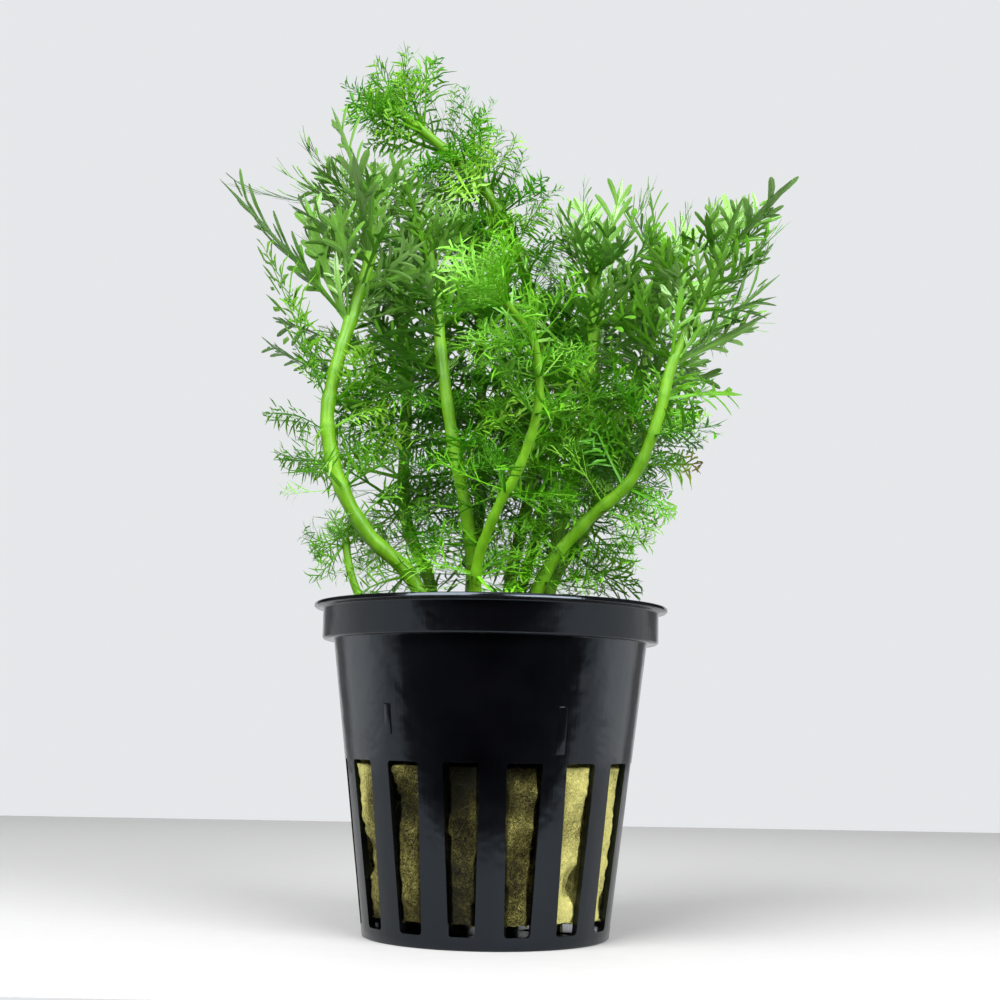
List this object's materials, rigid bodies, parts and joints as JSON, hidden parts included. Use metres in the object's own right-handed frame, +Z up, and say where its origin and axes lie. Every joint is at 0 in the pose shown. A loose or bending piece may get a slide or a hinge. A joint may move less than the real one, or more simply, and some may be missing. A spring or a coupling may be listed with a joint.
{
  "type": "potted giant ambulia",
  "caption": "Giant ambulia, a feathery aquarium stem plant, rooted in a rockwool plug in a slotted black net pot.",
  "frame": {"origin": "centre of the pot's flat underside, where it stands", "axes": "+Z up along the pot's axis, -Y towards the viewer of the picture, +X to the viewer's right"},
  "size_m": [0.0925, 0.072, 0.1457],
  "materials": {
    "black_plastic": "gloss",
    "mineral_wool": "matte",
    "stem_green": "satin",
    "leaf_green": "satin"
  },
  "bodies": {
    "root": {"leaf_whorl_back_1": "leaf_green", "leaf_whorl_back_2": "leaf_green", "leaf_whorl_back_3": "leaf_green", "leaf_whorl_back_4": "leaf_green", "leaf_whorl_behind_right_1": "leaf_green", "leaf_whorl_behind_right_2": "leaf_green", "leaf_whorl_centre_1": "leaf_green", "leaf_whorl_centre_2": "leaf_green", "leaf_whorl_centre_3": "leaf_green", "leaf_whorl_centre_4": "leaf_green", "leaf_whorl_centre_5": "leaf_green", "leaf_whorl_far_right_1": "leaf_green", "leaf_whorl_far_right_2": "leaf_green", "leaf_whorl_far_right_3": "leaf_green", "leaf_whorl_far_right_4": "leaf_green", "leaf_whorl_front_1": "leaf_green", "leaf_whorl_front_2": "leaf_green", "leaf_whorl_front_3": "leaf_green", "leaf_whorl_front_4": "leaf_green", "leaf_whorl_front_5": "leaf_green", "leaf_whorl_left_1": "leaf_green", "leaf_whorl_left_2": "leaf_green", "leaf_whorl_left_3": "leaf_green", "leaf_whorl_left_4": "leaf_green", "leaf_whorl_left_5": "leaf_green", "leaf_whorl_left_6": "leaf_green", "leaf_whorl_middle_left_1": "leaf_green", "leaf_whorl_middle_left_2": "leaf_green", "leaf_whorl_middle_left_3": "leaf_green", "leaf_whorl_middle_right_1": "leaf_green", "leaf_whorl_middle_right_2": "leaf_green", "leaf_whorl_middle_right_3": "leaf_green", "leaf_whorl_middle_right_4": "leaf_green", "leaf_whorl_middle_right_5": "leaf_green", "leaf_whorl_right_1": "leaf_green", "leaf_whorl_right_2": "leaf_green", "leaf_whorl_right_3": "leaf_green", "leaf_whorl_right_4": "leaf_green", "leaf_whorl_right_5": "leaf_green", "leaf_whorl_right_6": "leaf_green", "leaf_whorl_tall_1": "leaf_green", "leaf_whorl_tall_2": "leaf_green", "leaf_whorl_tall_3": "leaf_green", "leaf_whorl_tall_4": "leaf_green", "leaf_whorl_tall_5": "leaf_green", "leaf_whorl_tall_6": "leaf_green", "leaf_whorl_young_1": "leaf_green", "pot": "black_plastic", "rockwool": "mineral_wool", "stem_back": "stem_green", "stem_behind_right": "stem_green", "stem_centre": "stem_green", "stem_far_right": "stem_green", "stem_front": "stem_green", "stem_left": "stem_green", "stem_middle_left": "stem_green", "stem_middle_right": "stem_green", "stem_right": "stem_green", "stem_tall": "stem_green", "stem_young": "stem_green"}
  },
  "joints": []
}
